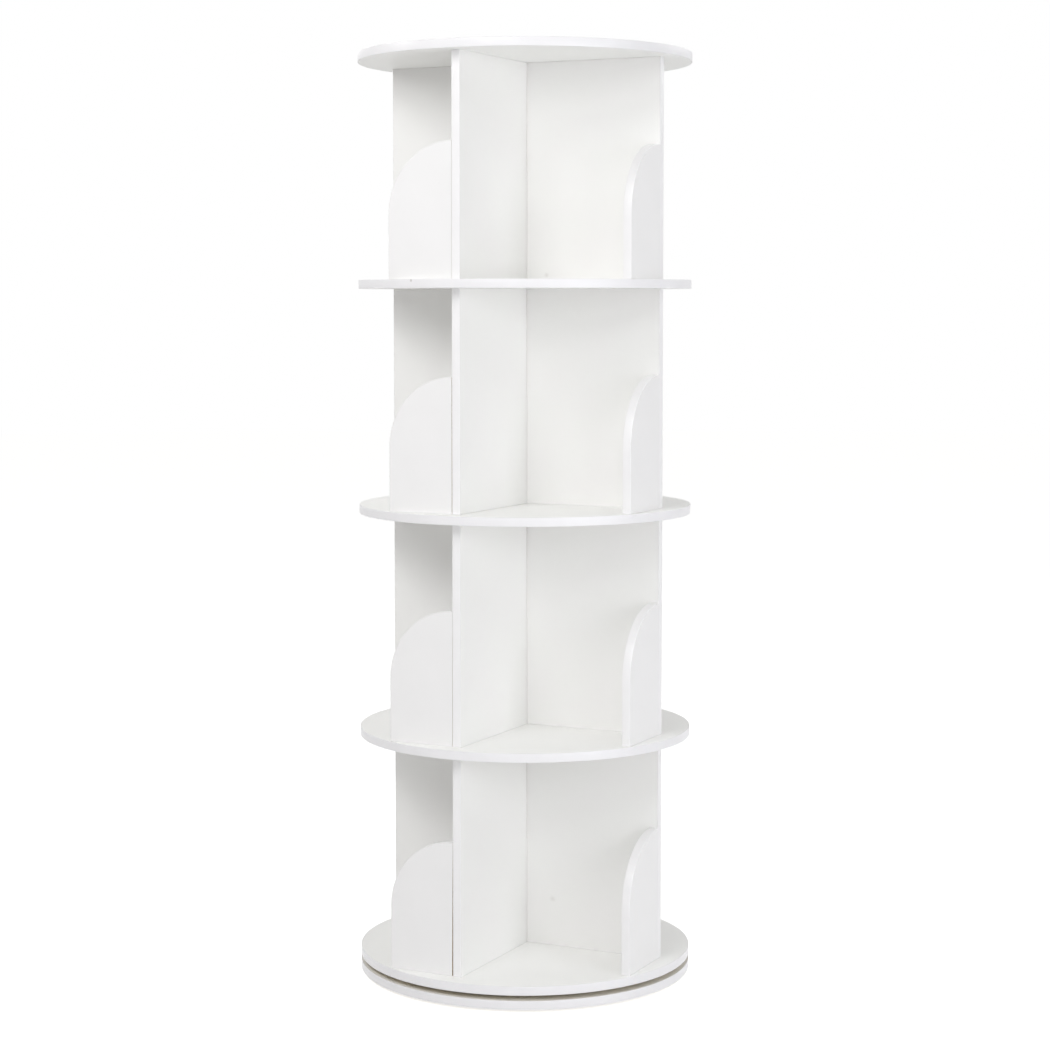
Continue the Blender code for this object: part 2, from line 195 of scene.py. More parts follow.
@dataclass(frozen=True)
class Lumps:
    """A noise with lumps of a real size, in the piece's own space.

    Attributes:
        size: how far apart the lumps are.
        detail: how many finer layers it has.
        stretch: how much each axis is kept; a small number draws the lumps out along it.
        rough: how strong the finer layers are.
    """

    size: float
    detail: float = 2.0
    stretch: Triple = (1, 1, 1)
    rough: float = 0.5

    def place(self, tree: Tree) -> Socket:
        """Scale the piece's own coordinates, so that one unit is the pattern's size.

        Args:
            tree: the material's tree.

        Returns:
            The scaled coordinates.
        """
        here = add_node(tree, "TexCoord").outputs["Object"]
        scale = tuple(keep / self.size for keep in self.stretch)
        return add_node(tree, "Mapping", {"Vector": here, "Scale": scale}).outputs["Vector"]

    def build(self, tree: Tree) -> Socket:
        """Return the pattern, as a value from 0 to 1."""
        inputs = {"Vector": self.place(tree), "Scale": 1.0, "Detail": self.detail, "Roughness": self.rough}
        return add_node(tree, "TexNoise", inputs).outputs["Fac"]


@dataclass(frozen=True)
class Flakes(Lumps):
    """Flat flakes, each with a value of its own, or else with a value that rises towards its edge."""

    own_value: bool = True

    def build(self, tree: Tree) -> Socket:
        """Add the pattern to a material.

        Args:
            tree: the material's tree.

        Returns:
            The pattern, as a value from 0 to 1.
        """
        flakes = add_node(tree, "TexVoronoi", {"Vector": self.place(tree), "Scale": 1.0}).outputs
        if self.own_value:
            return add_node(tree, "SeparateColor", {"Color": flakes["Color"]}).outputs["Red"]
        return flakes["Distance"]


@dataclass(frozen=True)
class ToolRings(Lumps):
    """The rings that a lathe's tool leaves round the piece's own Z axis."""

    def build(self, tree: Tree) -> Socket:
        """Add the pattern to a material.

        Args:
            tree: the material's tree.

        Returns:
            The pattern, as a value from 0 to 1.
        """
        here = add_node(tree, "TexCoord").outputs["Object"]
        level = add_node(tree, "VectorMath", {0: here, 1: (1, 1, 0)}, operation="MULTIPLY").outputs["Vector"]
        radius = add_node(tree, "VectorMath", {0: level}, operation="LENGTH").outputs["Value"]
        feed = add_node(tree, "Math", {0: radius, 1: 1 / self.size}, operation="MULTIPLY").outputs["Value"]
        lines = {"W": feed, "Scale": 1.0, "Detail": self.detail}
        return add_node(tree, "TexNoise", lines, noise_dimensions="1D").outputs["Fac"]


@dataclass(frozen=True)
class Mark:
    """A small blemish on a panel.

    Attributes:
        place: its middle in the piece's own space.
        radius: how far it reaches.
        depth: how much of its colour it takes at its middle.
        colour: its sRGB hex colour.
        ragged: the shares of the radius that its torn edge wanders between.
    """

    place: Triple
    radius: float
    depth: float
    colour: str = "#8F8478"
    ragged: Point = (0.6, 1.4)

    def over(self, tree: Tree, under: Socket) -> Socket:
        """Lay the mark over a colour.

        Args:
            tree: the material's tree.
            under: the colour below the mark.

        Returns:
            The colour with the mark.
        """
        here = add_node(tree, "TexCoord").outputs["Object"]
        low, high = (share * self.radius for share in self.ragged)
        torn = {"Value": Lumps(self.radius / 2).build(tree), "To Min": low, "To Max": high}
        edge = add_node(tree, "MapRange", torn).outputs["Result"]
        reach = add_node(tree, "VectorMath", {0: here, 1: self.place}, operation="DISTANCE").outputs["Value"]
        fall = {"Value": reach, "From Min": edge, "From Max": 0.0, "To Max": self.depth}
        inside = add_node(tree, "MapRange", fall).outputs["Result"]
        colours = {"Factor": inside, 6: under, 7: linear(self.colour)}
        return add_node(tree, "Mix", colours, data_type="RGBA").outputs[2]


@dataclass(frozen=True)
class Finish:
    """What a piece is made of, as it looks.

    Attributes:
        name: the real material's name.
        colour: its main tone, in sRGB hex.
        stops: the tones that its pattern runs through, each with its place from 0 to 1.
        tone: that pattern.
        roughness: how dull it is where the pattern of its sheen is low, and where it is high.
        sheen: that pattern, if its sheen isn't even.
        relief: the pattern of its relief, if it has any.
        depth: how deep the relief is.
        metallic: 1 for a metal.
        ior: its index of refraction.
        marks: the blemishes on it.
    """

    name: str
    colour: str
    stops: tuple[Stop, ...]
    tone: Lumps
    roughness: Point
    sheen: Lumps | None = None
    relief: Lumps | None = None
    depth: float = 0.0
    metallic: float = 0.0
    ior: float = 1.5
    marks: tuple[Mark, ...] = ()

    def toned(self, name: str, shade: str, colour: str) -> "Finish":
        """Return this finish under another name in two other tones."""
        stops = tuple((place, tone) for (place, _), tone in zip(self.stops, (shade, colour)))
        return replace(self, name=name, colour=colour, stops=stops)

    def marked(self, name: str, marks: tuple[Mark, ...]) -> "Finish":
        """Return this finish under another name with marks on it, or as it is without any."""
        return replace(self, name=name, marks=marks) if marks else self

    def tones(self, tree: Tree) -> Socket:
        """Add the finish's colour to a material.

        Args:
            tree: the material's tree.

        Returns:
            A colour that runs through the stops and has the marks laid over it.
        """
        ramp = add_node(tree, "ValToRGB", {"Fac": self.tone.build(tree)})
        elements = ramp.color_ramp.elements
        for number, (place, tone) in enumerate(self.stops):
            element = elements[number] if number < len(elements) else elements.new(place)
            element.position = place
            element.color = linear(tone)
        colour = ramp.outputs["Color"]
        for mark in self.marks:
            colour = mark.over(tree, colour)
        return colour

    def dullness(self, tree: Tree) -> float | Socket:
        """Add the finish's roughness to a material.

        Args:
            tree: the material's tree.

        Returns:
            One number where the sheen is even, or else a roughness that follows its pattern.
        """
        if not self.sheen:
            return self.roughness[0]
        inputs = {"Value": self.sheen.build(tree)}
        inputs["From Min"], inputs["From Max"] = NOISE_RANGE
        inputs["To Min"], inputs["To Max"] = self.roughness
        return add_node(tree, "MapRange", inputs).outputs["Result"]

    @cache
    def build(self) -> Material:
        """Make the material.

        Returns:
            The material, which every piece with this finish shares.
        """
        material, tree = new_material(self.name, self.colour)
        inputs = {"Base Color": self.tones(tree), "Roughness": self.dullness(tree)}
        inputs.update({"Metallic": self.metallic, "IOR": self.ior})
        if self.relief:
            height = {"Height": self.relief.build(tree), "Distance": self.depth, "Strength": 1.0}
            inputs["Normal"] = add_node(tree, "Bump", height).outputs["Normal"]
        shader = add_node(tree, "BsdfPrincipled", inputs)
        add_node(tree, "OutputMaterial", {"Surface": shader.outputs["BSDF"]})
        return material


# Finishes

# Melamine faced chipboard: décor paper under a clear resin film gives an even white with a soft
# sheen, whose tone drifts by a shade over a hand's breadth. The pearled plate that pressed it
# leaves a very shallow orange peel, which breaks up reflections. A pearl is about 0.9 mm across,
# drawn at 1.6 mm so that it shows.
PEARLS = Lumps(1.6 * MM, 1.0)
BOARD_FACE = Finish(
    "melamine_faced_board_white",
    "#FAFAF8",
    ((0.35, "#F9F8F7"), (0.65, "#FAFAF8")),
    Lumps(90 * MM, 3.0),
    (0.41, 0.47),
    sheen=PEARLS,
    relief=PEARLS,
    depth=0.012 * MM,
    ior=1.55,
)
# The shelves' faces are a shade whiter than the boards': painted light, which brightens the shelves' tops
# and undersides.
SHELF_FACE_PAINTED_LIGHTER = BOARD_FACE.toned("melamine_faced_shelf_painted_lighter", "#FBFBF9", "#FCFCFA")
# The stops' faces are a shade darker and cooler than the boards': painted shade on the stops.
STOP_FACE_PAINTED_SHADE = BOARD_FACE.toned("melamine_faced_stop_painted_shade", "#F4F3F3", "#F6F5F5")

# White ABS edge band, extruded, ironed on and trimmed flush: smoother than the faces, with fine
# lines that run along it and a slightly wavy tone. The lines are 0.3 mm apart, drawn at 0.7 mm so
# that a near view shows them. The rims' band is a little darker and cooler than the boards' ends;
# its darker tone is painted shade, which holds down the rims where the lamps light them full on.
LEVEL_LINES = Lumps(0.7 * MM, stretch=(0.02, 0.02, 1.0))
UPRIGHT_LINES = Lumps(0.7 * MM, stretch=(1.0, 1.0, 0.02))
RIM_BAND_PAINTED_SHADE = Finish(
    "abs_edge_band_rim_painted_shade",
    "#F4F3F5",
    ((0.35, "#F2F1F3"), (0.65, "#F4F3F5")),
    Lumps(35 * MM),
    (0.32, 0.4),
    sheen=LEVEL_LINES,
    relief=LEVEL_LINES,
    depth=0.006 * MM,
    ior=1.52,
)
END_BAND = replace(
    RIM_BAND_PAINTED_SHADE.toned("abs_edge_band_upright", "#F6F5F6", "#F8F7F8"), sheen=UPRIGHT_LINES, relief=UPRIGHT_LINES
)

# The hairline of hot melt glue between a face and its edge band: matt, ivory, a little dusty.
GLUE = Finish(
    "hot_melt_glue_line", "#D8D6CD", ((0.35, "#C4C1B6"), (0.6, "#D8D6CD")), Lumps(3 * MM, 3.0), (0.7, 0.7)
)

# Raw particle board, sawn or drilled: straw flakes 1 to 4 mm long, some pale, and dark bark.
CORE = Finish(
    "particle_board_core",
    "#CDB48A",
    ((0.0, "#8E6F49"), (0.18, "#CDB48A"), (0.7, "#CDB48A"), (1.0, "#E0CDA8")),
    Flakes(2.2 * MM, stretch=(1, 1, 1.8)),
    (0.85, 0.85),
    relief=Flakes(2.2 * MM, stretch=(1, 1, 1.8), own_value=False),
    depth=0.15 * MM,
)

# Ivory balancing paper on the faces that nobody sees: thin, matt and fibrous, a little uneven.
PAPER = Finish(
    "ivory_balancing_paper",
    "#E4D8BE",
    ((0.35, "#DDD0B4"), (0.65, "#E4D8BE")),
    Lumps(25 * MM, 3.0),
    (0.72, 0.72),
    relief=Lumps(1.5 * MM, 3.0, (1.0, 0.3, 1.0)),
    depth=0.01 * MM,
)

# Aluminium turned on a lathe and clear anodised: satin grey with fine circular tool lines. The
# tool moved 0.25 mm a turn, drawn at 0.5 mm so that it shows.
TOOL_RINGS = ToolRings(0.5 * MM)
ALUMINIUM = Finish(
    "anodised_aluminium_turned",
    "#C9CBCC",
    ((0.3, "#B9BBBD"), (0.7, "#C9CBCC")),
    TOOL_RINGS,
    (0.29, 0.41),
    sheen=TOOL_RINGS,
    relief=TOOL_RINGS,
    depth=0.01 * MM,
    metallic=1.0,
)


# How much duller a steel is where its film lies thickest.
FILM_DULLING = 1.4


def steel(
    name: str, shade: str, colour: str, roughness: float, drift: float, grain: float, depth: float
) -> Finish:
    """Describe a steel whose tone and dullness drift together with its film, over a fine grain.

    Args:
        name: the real material's name.
        shade: its darker or warmer tone, in sRGB hex.
        colour: its main tone.
        roughness: how dull it is where the film is thin.
        drift: how far apart the film's lumps are.
        grain: how far apart the grain's lumps are.
        depth: how deep the grain is.

    Returns:
        The finish.
    """
    stops = ((0.35, shade), (0.65, colour))
    film = Lumps(drift)
    dullness = (roughness, FILM_DULLING * roughness)
    return Finish(name, colour, stops, film, dullness, film, Lumps(grain), depth, metallic=1.0)


# Zinc plated screws: a bright metal, with a drift to the faint yellow of its passivation. The
# cage's cold rolled strip is duller, with a wider drift from its oil film. The balls' chrome steel
# is polished: it has sharp reflections and hardly any grain.
ZINC = steel("zinc_plated_steel", "#CBC4AE", "#C3C6C8", 0.27, 4 * MM, 0.5 * MM, 0.004 * MM)
STRIP_STEEL = steel("cold_rolled_steel_strip", "#A3A19C", "#B4B3B0", 0.3, 9 * MM, 0.5 * MM, 0.004 * MM)
BALL_STEEL = steel("chrome_steel_polished", "#C9CACC", "#D6D7D9", 0.09, 2 * MM, 0.4 * MM, 0.0004 * MM)

# Bare beech, turned and fluted: pink straw wood with dark ray flecks about 0.5 mm wide and a few
# millimetres long, along the grain.
RAY_FLECKS = Lumps(0.5 * MM, 3.0, (1.0, 1.0, 0.14), 0.6)
BEECH = Finish(
    "beech_dowel_wood",
    "#D9B48A",
    ((0.36, "#B98A5E"), (0.52, "#D9B48A")),
    RAY_FLECKS,
    (0.62, 0.62),
    relief=RAY_FLECKS,
    depth=0.02 * MM,
)

# Moulded rubber: charcoal, matt, with the fine sparked texture of its mould and a chalky bloom.
RUBBER = Finish(
    "moulded_rubber_charcoal",
    "#3A3A39",
    ((0.4, "#3A3A39"), (0.7, "#4C4B49")),
    Lumps(7 * MM, 3.0),
    (0.78, 0.78),
    relief=Lumps(0.6 * MM),
    depth=0.03 * MM,
)


# Meshes


def numbered(kind: str, count: int) -> list[str]:
    """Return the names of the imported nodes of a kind, which count from one."""
    return [f"{kind}_{number}" for number in range(1, count + 1)]


def centre_of(node: str) -> Vector:
    """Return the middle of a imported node's box."""
    low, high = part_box(node)
    return (low + high) / 2


def foot_of(node: str) -> Vector:
    """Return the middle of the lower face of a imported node's box."""
    low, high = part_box(node)
    return Vector((*((low + high) / 2).xy, low.z))


def size_of(node: str) -> Vector:
    """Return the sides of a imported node's box."""
    low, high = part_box(node)
    return high - low


def sides_of(node: str) -> Triple:
    """Return an upright plate's length, thickness and height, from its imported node's box."""
    size = size_of(node)
    return max(size.xy), min(size.xy), size.z


def mesh_of(shape: Shape, name: str, *finishes: Finish) -> Mesh:
    """Turn a shape into a smooth shaded mesh and free it.

    Args:
        shape: the shape, whose faces carry their place in the material list.
        name: the mesh's name.
        finishes: the finishes of the material list.

    Returns:
        The mesh, with its sharp edges kept sharp.
    """
    bmesh.ops.recalc_face_normals(shape, faces=shape.faces)
    mesh = bpy.data.meshes.new(name)
    shape.to_mesh(mesh)
    shape.free()
    for finish in finishes:
        mesh.materials.append(finish.build())
    mesh.shade_smooth()
    mesh.set_sharp_from_angle(angle=SMOOTH_ANGLE)
    return mesh


def add_object(name: str, data: bpy.types.ID) -> bpy.types.Object:
    """Add an object to the scene.

    Args:
        name: its name.
        data: its mesh, lamp or camera.

    Returns:
        The object.
    """
    item = bpy.data.objects.new(name, data)
    bpy.context.scene.collection.objects.link(item)
    return item


def show(mesh: Mesh, name: str, body: Body, place: Matrix | Vector, node: str = "") -> None:
    """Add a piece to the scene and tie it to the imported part.

    Args:
        mesh: the piece's mesh.
        name: the piece's name.
        body: the body that it rides on.
        place: where it stands; a vector leaves it unturned.
        node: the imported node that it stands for, if any.
    """
    piece = add_object(name, mesh)
    piece.matrix_world = Matrix.Translation(place) if isinstance(place, Vector) else place
    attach(piece, body.value)
    if node:
        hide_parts(node)
    LOG.info("%s on %s", name, body.value)


def joined_cutters(cutters: Iterable[Cutter], name: str) -> Mesh:
    """Join several cutters into one mesh.

    Args:
        cutters: each cutter with its place. They are freed.
        name: the mesh's name.

    Returns:
        The mesh.
    """
    joined = bmesh.new()
    for cutter, place in cutters:
        part = bpy.data.meshes.new("cutter_part")
        bmesh.ops.recalc_face_normals(cutter, faces=cutter.faces)
        cutter.to_mesh(part)
        cutter.free()
        part.transform(place)
        joined.from_mesh(part)
        bpy.data.meshes.remove(part)
    mesh = bpy.data.meshes.new(name)
    joined.to_mesh(mesh)
    joined.free()
    return mesh


def cut_out(mesh: Mesh, cutters: Iterable[Cutter]) -> Mesh:
    """Cut shapes out of a mesh with one exact Boolean.

    Args:
        mesh: the mesh that is cut, and then removed.
        cutters: each cutter with its place in the mesh's space. Their faces become raw core.

    Returns:
        The cut mesh, under the same name and with the same materials.
    """
    name = mesh.name
    cutter_mesh = joined_cutters(cutters, "cutter")
    for material in mesh.materials:
        cutter_mesh.materials.append(material)
    for face in cutter_mesh.polygons:
        face.material_index = min(Surface.CORE, len(mesh.materials) - 1)
    blank, tool = add_object("blank", mesh), add_object("tool", cutter_mesh)
    boolean = blank.modifiers.new("cut", "BOOLEAN")
    boolean.operation = "DIFFERENCE"
    boolean.solver = "EXACT"
    boolean.object = tool
    bpy.context.view_layer.update()
    result = bpy.data.meshes.new_from_object(blank.evaluated_get(bpy.context.evaluated_depsgraph_get()))
    for helper in (blank, tool):
        bpy.data.objects.remove(helper, do_unlink=True)
    for used in (mesh, cutter_mesh):
        bpy.data.meshes.remove(used)
    clean = bmesh.new()
    clean.from_mesh(result)
    bmesh.ops.remove_doubles(clean, verts=clean.verts, dist=WELD_DISTANCE)
    bmesh.ops.dissolve_degenerate(clean, edges=clean.edges, dist=WELD_DISTANCE)
    clean.to_mesh(result)
    clean.free()
    result.name = name
    result.set_sharp_from_angle(angle=SMOOTH_ANGLE)
    return result


def skin(shape: Shape, upper: Corners, lower: Corners) -> list[bmesh.types.BMFace]:
    """Add the faces between two rings of corners.

    Args:
        shape: the shape that gets the faces.
        upper: the corners of the first ring.
        lower: the corners of the second ring, as many.

    Returns:
        The new faces, one for each corner and the next.
    """
    faces = []
    for number in range(len(upper)):
        after = (number + 1) % len(upper)
        faces.append(shape.faces.new((upper[number], lower[number], lower[after], upper[after])))
    return faces


def turned(profile: list[Point], facets: int, radius_at: RadiusRule | None = None) -> Shape:
    """Turn a profile round +Z.

    Args:
        profile: (radius, height) points along one side. An open profile starts and ends on the axis.
        facets: how many flat sides the full turn has.
        radius_at: gives the radius anew from the radius, the height and the angle, for flutes.

    Returns:
        The turned shape.
    """
    shape = bmesh.new()
    rings = []
    for radius, height in profile:
        ring = []
        for number in range(facets):
            angle = number * FULL_TURN / facets
            reach = radius_at(radius, height, angle) if radius_at and radius > 0 else radius
            ring.append(shape.verts.new((reach * math.cos(angle), reach * math.sin(angle), height)))
        rings.append(ring)
    for upper, lower in zip(rings, rings[1:]):
        skin(shape, upper, lower)
    bmesh.ops.remove_doubles(shape, verts=shape.verts, dist=MERGE_DISTANCE)
    return shape


def arc(centre: Point, radius: float, start: float, end: float, steps: int) -> list[Point]:
    """Return the points of an arc between two angles."""
    turns = [start + (end - start) * step / steps for step in range(steps + 1)]
    return [(centre[0] + radius * math.cos(turn), centre[1] + radius * math.sin(turn)) for turn in turns]


@dataclass
class EdgedPanel:
    """A flat panel in the XY plane, centred on z = 0, with edge band along some of its sides.

    Attributes:
        outline: its corners, anticlockwise.
        thickness: how thick it is.
        banded: whether the side after each corner carries edge band.
        band: the thickness of the edge band.
        glue: the width of the glue line that shows beside the band.
        edge_round: the radius that the trimming leaves along every banded edge.
        round_steps: how many flat steps make that radius.
        raw_share: how much of a banded side's insets a raw, sawn side takes.
        lower_face: the surface of the face that looks down.
    """

    outline: list[Point]
    thickness: float
    banded: list[bool]
    band: float = 0.8 * MM
    glue: float = 0.15 * MM
    edge_round: float = 0.6 * MM
    round_steps: int = 4
    raw_share: float = 0.15
    lower_face: Surface = Surface.FACE

    def miters(self) -> list[Vector]:
        """Find how each corner moves when the edges are inset.

        Returns:
            For each corner, the way in that moves its banded sides in by one unit.
        """
        corners = [Vector(corner) for corner in self.outline]
        shares = [1.0 if banded else self.raw_share for banded in self.banded]
        ways = []
        for number, here in enumerate(corners):
            before, after = corners[number - 1], corners[(number + 1) % len(corners)]
            first, second = (here - before).normalized(), (after - here).normalized()
            inward = [Vector((-side.y, side.x)) for side in (first, second)]
            steps = shares[number - 1], shares[number]
            if steps[0] == steps[1]:
                way = steps[0] * (inward[0] + inward[1]) / (1 + inward[0].dot(inward[1]))
            else:
                way = (second * steps[0] - first * steps[1]) / first.cross(second)
            ways.append(way)
        return ways

    def section(self) -> list[tuple[float, float, Surface]]:
        """Return the edge's section from the upper face to the lower one.

        Returns:
            How far in and how high each step is, and the surface that follows it on a banded side.
        """
        half, radius = self.thickness / 2, self.edge_round
        upper = [(self.band + self.glue, half, Surface.GLUE), (self.band, half, Surface.EDGE)]
        rounding = arc((radius, half - radius), radius, QUARTER_TURN, math.pi, self.round_steps)
        upper += [(inset, height, Surface.EDGE) for inset, height in rounding]
        lower = [(inset, -height, Surface.EDGE) for inset, height, _ in reversed(upper)]
        lower[-2] = (*lower[-2][:2], Surface.GLUE)
        return upper + lower

    def shape(self) -> Shape:
        """Build the panel.

        Returns:
            Its closed shape.
        """
        shape = bmesh.new()
        ways = self.miters()
        section = self.section()
        rings = [
            [
                shape.verts.new((corner[0] + way.x * inset, corner[1] + way.y * inset, height))
                for corner, way in zip(self.outline, ways)
            ]
            for inset, height, _ in section
        ]
        for (_, height, surface), ring, under in zip(section, rings, rings[1:]):
            plain = Surface.CORE if height > 0 > under[0].co.z else Surface.FACE
            for side, banded in zip(skin(shape, ring, under), self.banded):
                side.material_index = surface if banded else plain
        shape.faces.new(rings[0]).material_index = Surface.FACE
        shape.faces.new(rings[-1]).material_index = self.lower_face
        return shape


def upright(shape: Shape) -> Shape:
    """Stand a panel up: its outline's second axis becomes +Z and its thickness lies along Y.

    Args:
        shape: the panel, lying flat. It is changed.

    Returns:
        The same shape.
    """
    stand = Matrix(((1, 0, 0, 0), (0, 0, -1, 0), (0, 1, 0, 0), (0, 0, 0, 1)))
    bmesh.ops.transform(shape, matrix=stand, verts=shape.verts)
    return shape


def block(size: Triple, centre: Triple) -> Shape:
    """Build a plain block that cuts a slot.

    Args:
        size: its sides.
        centre: its middle.

    Returns:
        The block.
    """
    shape = bmesh.new()
    place = Matrix.Translation(centre) @ Matrix.Diagonal((*size, 1))
    bmesh.ops.create_cube(shape, size=1, matrix=place)
    return shape


# The bookcase's own parts


@dataclass
class Fixings:
    """The hidden fixings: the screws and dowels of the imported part, and the holes they need.

    Attributes:
        screw_radius: half the screws' outer diameter.
        core_share: the threaded core's share of that radius.
        point_share: the share of the screws' radius that is left at their points.
        thread_pitch: how far the thread climbs in a turn.
        tooth_slope: how steep the thread's teeth are; the higher, the narrower they are.
        rings_per_turn: how many rings of corners make one turn of the thread.
        head_radius: half the countersunk head's diameter.
        head_edge: the height of the head's upright edge.
        head_bevel: the bevel round the head's face.
        point_length: the length of the screws' points.
        recess_width: the width of the cross recess across its wings.
        recess_wing: how thick a wing is.
        recess_depth: how deep the recess is.
        recess_taper: the share of its width that is left at the recess's floor.
        hole_fit: the clearance round a shank or a dowel.
        dowel_radius: half the dowels' diameter.
        dowel_chamfer: the chamfer on their ends.
        flute_count: how many glue flutes run along a dowel.
        flute_depth: how deep they are.
        flute_power: how narrow they are; the higher, the narrower.
        facets: how many flat sides a screw or a hole has.
        dowel_facets: how many flat sides a dowel has.
    """

    screw_radius: float = 2.0 * MM
    core_share: float = 0.68
    point_share: float = 0.08
    thread_pitch: float = 1.8 * MM
    tooth_slope: float = 5.0
    rings_per_turn: int = 6
    head_radius: float = 3.8 * MM
    head_edge: float = 0.25 * MM
    head_bevel: float = 0.1 * MM
    point_length: float = 3.0 * MM
    recess_width: float = 4.2 * MM
    recess_wing: float = 0.9 * MM
    recess_depth: float = 1.7 * MM
    recess_taper: float = 0.45
    hole_fit: float = 0.3 * MM
    dowel_radius: float = 3.0 * MM
    dowel_chamfer: float = 0.8 * MM
    flute_count: int = 16
    flute_depth: float = 0.18 * MM
    flute_power: int = 3
    facets: int = 24
    dowel_facets: int = 64

    def thread_radius(self, length: float) -> RadiusRule:
        """Make the rule for a screw's thread.

        Args:
            length: the screw's length.

        Returns:
            The rule, which gives the radius at a height and an angle.
        """
        start = self.head_radius
        tip = length - self.point_length

        def radius(full: float, height: float, angle: float) -> float:
            """Cut the thread into the plain screw.

            Args:
                full: the plain screw's radius.
                height: how far up the screw.
                angle: how far round it.

            Returns:
                The thread's radius.
            """
            if height < start or full > self.screw_radius:
                return full
            turn = (height / self.thread_pitch - angle / FULL_TURN) % 1
            tooth = max(0.0, 1 - abs(turn - 0.5) * self.tooth_slope)
            taper = 1.0 if height < tip else (length - height) / self.point_length
            core = self.core_share + (1 - self.core_share) * tooth
            return self.screw_radius * core * max(taper, self.point_share)

        return radius

    def recess(self) -> Shape:
        """Build the cutter for the cross recess.

        Returns:
            A cross whose wings' ends run in towards its floor.
        """
        half, wing = self.recess_width / 2, self.recess_wing / 2
        turns = [Matrix.Rotation(turn * QUARTER_TURN, 3, "Z") for turn in range(4)]
        shape = bmesh.new()
        rings = []
        for height, reach in ((-wing, half), (0, half), (self.recess_depth, half * self.recess_taper)):
            corners = [Vector((*spot, height)) for spot in ((reach, -wing), (reach, wing), (wing, wing))]
            rings.append([shape.verts.new(turn @ corner) for turn in turns for corner in corners])
        shape.faces.new(rings[0])
        shape.faces.new(rings[-1])
        for upper, lower in zip(rings, rings[1:]):
            skin(shape, upper, lower)
        return shape

    def screw_mesh(self, name: str, length: float) -> Mesh:
        """Return a countersunk wood screw that points up, with its head's face at height zero.

        Args:
            name: the mesh's name.
            length: its whole length.

        Returns:
            The mesh, with a helical thread and a cross recess.
        """
        run = length - self.head_radius
        steps = round(run / self.thread_pitch * self.rings_per_turn)
        climb = [self.head_radius + run * step / steps for step in range(steps)]
        profile = [
            (0, length),
            *((self.screw_radius, height) for height in reversed(climb)),
            (self.screw_radius, self.head_radius - self.screw_radius),
            (self.head_radius, self.head_edge),
            (self.head_radius - self.head_bevel, 0),
            (0, 0),
        ]
        shape = turned(profile, self.facets, self.thread_radius(length))
        return cut_out(mesh_of(shape, name, ZINC), [(self.recess(), Matrix())])

    def dowel_mesh(self, name: str, length: float) -> Mesh:
        """Build a fluted dowel.

        Args:
            name: the mesh's name.
            length: its whole length.

        Returns:
            The mesh, upright and centred on its origin.
        """
        radius, half, chamfer = self.dowel_radius, length / 2, self.dowel_chamfer
        upper = [(0, half), (radius - chamfer, half), (radius, half - chamfer)]
        profile = upper + [(reach, -height) for reach, height in reversed(upper)]

        def flute(full: float, height: float, angle: float) -> float:
            """Return the fluted radius at an angle."""
            hollow = 0.5 - 0.5 * math.cos(angle * self.flute_count)
            return full - self.flute_depth * hollow**self.flute_power

        return mesh_of(turned(profile, self.dowel_facets, flute), name, BEECH)

    def dowel_hole(self, bottom: float, top: float) -> Shape:
        """Return the cutter for a dowel between two heights."""
        radius = self.dowel_radius + self.hole_fit
        return turned([(0, top), (radius, top), (radius, bottom), (0, bottom)], self.facets)

    def screw_hole(self, length: float) -> Shape:
        """Build the cutter for a screw that points up.

        Args:
            length: how far it goes up from the screw's face.

        Returns:
            The countersunk cutter, with the face's place at height zero.
        """
        hole = self.screw_radius + self.hole_fit
        sink = self.head_radius + 2 * self.hole_fit
        profile = [(0, length), (hole, length), (hole, sink - hole), (sink, 0), (sink, -MM), (0, -MM)]
        return turned(profile, self.facets)

    def screw_cutters(self, kind: str, origin: Vector, spare: float = MM) -> list[Cutter]:
        """Return the cutters for one kind of screw.

        Args:
            kind: the screws' name, without their number.
            origin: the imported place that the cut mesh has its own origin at.
            spare: how far the holes go on past the screws' points.

        Returns:
            A cutter for each screw, with its place in the mesh's own space.
        """
        length = size_of(f"{kind}_1").z + spare
        nodes = numbered(kind, SCREWS[kind][1])
        return [(self.screw_hole(length), Matrix.Translation(foot_of(node) - origin)) for node in nodes]

    def build(self) -> None:
        """Show every screw and dowel in its place."""
        for kind, (body, count) in SCREWS.items():
            mesh = self.screw_mesh(kind, size_of(f"{kind}_1").z)
            for node in numbered(kind, count):
                show(mesh, node + "_threaded", body, foot_of(node), node)
        for shelf in range(2, SHELF_COUNT + 1):
            kind = f"shelf_{shelf}_dowel"
            mesh = self.dowel_mesh(kind, size_of(f"{kind}_1").z)
            for node in numbered(kind, ARM_COUNT):
                show(mesh, node + "_fluted", Body.COLUMN, centre_of(node), node)


